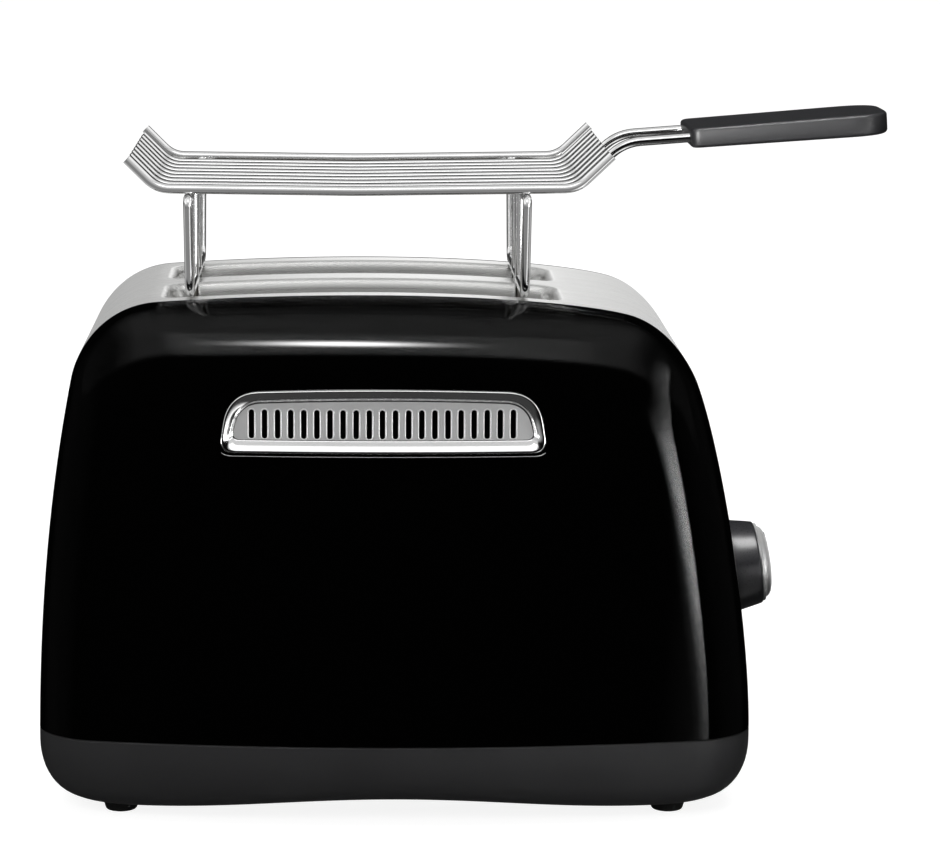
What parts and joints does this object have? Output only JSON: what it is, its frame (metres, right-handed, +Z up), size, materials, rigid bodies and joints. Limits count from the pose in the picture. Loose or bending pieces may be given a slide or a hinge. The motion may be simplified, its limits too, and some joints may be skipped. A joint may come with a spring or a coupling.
{
  "type": "two-slice toaster",
  "caption": "Rounded toaster with gloss side panels, steel top band, motor bread lift, browning knob, push buttons, crumb tray and a lift-off wire warming rack with a handle.",
  "frame": {"origin": "on the table, below the middle of the whole object's bounding box", "axes": "+Z up; +X along the body towards the end with the browning knob and the rack's handle; the long sides face -Y (front, as pictured) and +Y (back)"},
  "size_m": [0.3296, 0.174, 0.2658],
  "materials": {
    "base_plastic": "fine matte grain",
    "enamel": "high gloss stove enamel",
    "stainless": "fine satin brushing along the band",
    "trim_chrome": "polished plating",
    "rubber": "matt black rubber",
    "screw_steel": "zinc plated",
    "sheet_steel": "galvanised sheet",
    "mica": "mica sheet with resistance ribbon",
    "reflector": "bright rolled sheet",
    "guide_wire": "plated wire",
    "rail_steel": "plain rolled strip",
    "gear_plastic": "natural moulding",
    "rod_steel": "ground steel",
    "motor_steel": "satin grey",
    "knob_plastic": "satin black",
    "button_plastic": "satin black",
    "knob_cap_metal": "spun and polished",
    "potentiometer_metal": "pressed can",
    "circuit_board": "green solder mask",
    "frame_plastic": "black moulding",
    "rack_chrome": "polished plated wire",
    "grip_plastic": "dark grey satin"
  },
  "bodies": {
    "housing": {"base_shell": "base_plastic", "side_panel_front": "enamel", "side_panel_back": "enamel", "wrap_panel": "stainless", "vent_trim_front": "trim_chrome", "vent_trim_back": "trim_chrome", "foot_rear_front": "rubber", "foot_rear_back": "rubber", "foot_knob_front": "rubber", "foot_knob_back": "rubber", "cord_gland": "rubber", "base_screw_rear": "screw_steel", "base_screw_knob": "screw_steel", "bottom_plate": "sheet_steel", "chassis_plate_rear": "sheet_steel", "chassis_plate_knob": "sheet_steel", "heater_board_front": "mica", "heater_board_centre": "mica", "heater_board_back": "mica", "reflector_front": "reflector", "reflector_back": "reflector", "guide_rod_front": "rod_steel", "guide_rod_back": "rod_steel", "lift_motor": "motor_steel", "potentiometer": "potentiometer_metal", "control_board": "circuit_board", "control_frame": "frame_plastic"},
    "carriage": {"lift_bracket": "sheet_steel", "bread_rail_front": "rail_steel", "bread_rail_back": "rail_steel", "lift_bar": "gear_plastic"},
    "pinion": {"lift_pinion": "gear_plastic"},
    "knob": {"browning_knob": "knob_plastic", "knob_cap": "knob_cap_metal", "knob_shaft": "rod_steel"},
    "tray": {"crumb_tray": "sheet_steel", "crumb_tray_front": "base_plastic"},
    "warming_rack": {"rack_wire_front": "rack_chrome", "rack_wire_back": "rack_chrome", "rack_wire_1": "rack_chrome", "rack_wire_2": "rack_chrome", "rack_wire_3": "rack_chrome", "rack_wire_4": "rack_chrome", "rack_wire_5": "rack_chrome", "rack_wire_6": "rack_chrome", "rack_wire_7": "rack_chrome", "rack_wire_8": "rack_chrome", "rack_frame_rear": "rack_chrome", "rack_frame_knob": "rack_chrome", "handle_wire_front": "rack_chrome", "handle_wire_back": "rack_chrome", "handle_grip": "grip_plastic"},
    "guide_1": {"bread_guide_1": "guide_wire"},
    "push_button_1": {"button_1": "button_plastic"},
    "guide_2": {"bread_guide_2": "guide_wire"},
    "push_button_2": {"button_2": "button_plastic"},
    "guide_3": {"bread_guide_3": "guide_wire"},
    "push_button_3": {"button_3": "button_plastic"},
    "guide_4": {"bread_guide_4": "guide_wire"},
    "push_button_4": {"button_4": "button_plastic"}
  },
  "joints": [
    {"name": "carriage_lift", "type": "slide", "parent": "housing", "child": "carriage", "axis": [0, 0, -1], "range_m": [0, 0.06]},
    {"name": "pinion_turn", "type": "hinge", "parent": "housing", "child": "pinion", "pos_m": [0.07393, -0.023, 0.084], "axis": [0, -1, 0], "range_deg": [0, 290]},
    {"name": "knob_turn", "type": "hinge", "parent": "housing", "child": "knob", "pos_m": [0.10378, 0, 0.083], "axis": [-0.9931, 0, -0.1177], "range_deg": [0, 270]},
    {"name": "tray_slide", "type": "slide", "parent": "housing", "child": "tray", "axis": [-1, 0, 0], "range_m": [0, 0.2]},
    {"name": "rack_lift_off", "type": "slide", "parent": "housing", "child": "warming_rack", "axis": [0, 0, 1], "range_m": [0, 0.1]},
    {"name": "guide_1_hinge", "type": "hinge", "parent": "housing", "child": "guide_1", "pos_m": [0, -0.042, 0.05], "axis": [-1, 0, 0], "range_deg": [0, 4.6]},
    {"name": "guide_2_hinge", "type": "hinge", "parent": "housing", "child": "guide_2", "pos_m": [0, -0.011, 0.05], "axis": [1, 0, 0], "range_deg": [0, 4.6]},
    {"name": "guide_3_hinge", "type": "hinge", "parent": "housing", "child": "guide_3", "pos_m": [0, 0.011, 0.05], "axis": [-1, 0, 0], "range_deg": [0, 4.6]},
    {"name": "guide_4_hinge", "type": "hinge", "parent": "housing", "child": "guide_4", "pos_m": [0, 0.042, 0.05], "axis": [1, 0, 0], "range_deg": [0, 4.6]},
    {"name": "button_1_press", "type": "slide", "parent": "housing", "child": "push_button_1", "axis": [-0.9983, 0, -0.0577], "range_m": [0, 0.0012], "stiffness_N_per_m": 300, "springref_m": -0.001},
    {"name": "button_2_press", "type": "slide", "parent": "housing", "child": "push_button_2", "axis": [-0.9983, 0, -0.0577], "range_m": [0, 0.0012], "stiffness_N_per_m": 300, "springref_m": -0.001},
    {"name": "button_3_press", "type": "slide", "parent": "housing", "child": "push_button_3", "axis": [-0.9983, 0, -0.0577], "range_m": [0, 0.0012], "stiffness_N_per_m": 300, "springref_m": -0.001},
    {"name": "button_4_press", "type": "slide", "parent": "housing", "child": "push_button_4", "axis": [-0.9983, 0, -0.0577], "range_m": [0, 0.0012], "stiffness_N_per_m": 300, "springref_m": -0.001}
  ],
  "couplings": [
    {"joint": "pinion_turn", "follows": "carriage_lift", "rad_per_m": 83.333},
    {"joint": "guide_1_hinge", "follows": "carriage_lift", "rad_per_m": 1.309},
    {"joint": "guide_2_hinge", "follows": "carriage_lift", "rad_per_m": 1.309},
    {"joint": "guide_3_hinge", "follows": "carriage_lift", "rad_per_m": 1.309},
    {"joint": "guide_4_hinge", "follows": "carriage_lift", "rad_per_m": 1.309}
  ]
}
